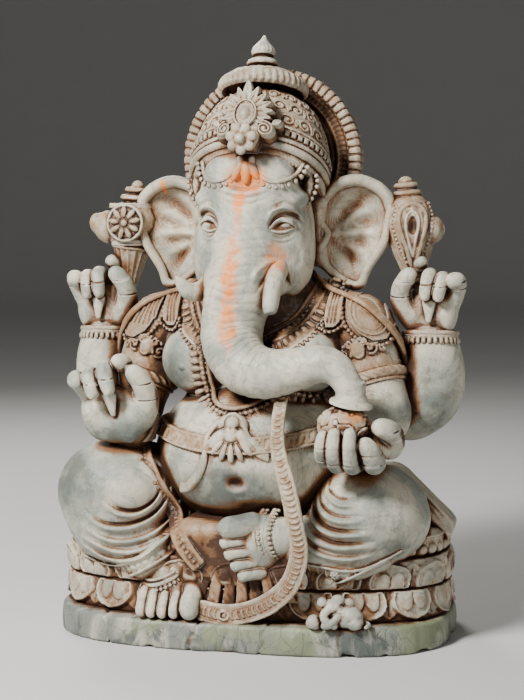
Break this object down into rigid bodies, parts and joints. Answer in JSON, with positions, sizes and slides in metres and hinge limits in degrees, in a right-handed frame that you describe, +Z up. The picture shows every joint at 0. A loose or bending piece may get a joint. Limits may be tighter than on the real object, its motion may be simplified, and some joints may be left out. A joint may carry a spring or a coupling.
{
  "type": "seated elephant-headed idol",
  "caption": "Seated elephant-headed stone idol with raised arms, crown, halo and lotus throne on a flat slab; it rests on its underside.",
  "frame": {"origin": "middle of the slab's flat underside", "axes": "+Z up, the figure faces -Y, and its right hand side is towards -X"},
  "size_m": [0.402, 0.258, 0.588],
  "materials": {
    "pale_stone": "satin, hand-rubbed marble with grey-green veining",
    "stained_stone": "matt, carved relief with brown patina in the recesses",
    "dowel_steel": "plain rod, hidden inside"
  },
  "bodies": {
    "root": {"torso_dowel": "dowel_steel", "neck_dowel": "dowel_steel", "halo_dowel": "dowel_steel", "finial_dowel": "dowel_steel", "plinth_slab": "pale_stone", "lotus_lower_tier": "stained_stone", "lotus_upper_tier": "pale_stone", "seat_cushion": "stained_stone", "halo_disc": "stained_stone", "torso": "pale_stone", "long_necklace": "stained_stone", "head": "pale_stone", "trunk": "pale_stone", "right_tusk": "pale_stone", "left_tusk": "pale_stone", "crown_dome": "pale_stone", "crown_band": "pale_stone", "crown_crest": "pale_stone", "right_ear": "pale_stone", "left_ear": "pale_stone", "crown_canopy": "stained_stone", "crown_finial": "pale_stone", "forehead_garland": "stained_stone", "right_leg": "pale_stone", "left_leg": "pale_stone", "right_foot": "pale_stone", "left_foot": "pale_stone", "right_anklet": "stained_stone", "left_anklet": "stained_stone", "front_left_hand": "pale_stone", "front_right_hand": "pale_stone", "sweet_ball": "stained_stone", "front_left_arm": "pale_stone", "front_left_forearm": "pale_stone", "front_right_arm": "pale_stone", "front_right_forearm": "pale_stone", "front_right_bangle": "stained_stone", "rear_left_hand": "pale_stone", "rear_right_hand": "pale_stone", "rear_left_forearm": "pale_stone", "rear_right_forearm": "pale_stone", "rear_left_bracelet": "stained_stone", "rear_right_bracelet": "stained_stone", "rear_left_arm": "pale_stone", "rear_right_arm": "pale_stone", "left_armlet": "stained_stone", "right_armlet": "stained_stone", "left_emblem": "stained_stone", "right_emblem": "stained_stone", "belt_knot": "stained_stone", "waist_belt": "stained_stone", "centre_sash": "stained_stone", "collar_necklace": "stained_stone", "left_shoulder_cord": "stained_stone", "right_shoulder_cord": "stained_stone", "left_shoulder_cape": "stained_stone", "right_shoulder_cape": "stained_stone", "front_pleats": "stained_stone", "left_hip_drape": "pale_stone", "mouse": "pale_stone"}
  },
  "joints": []
}
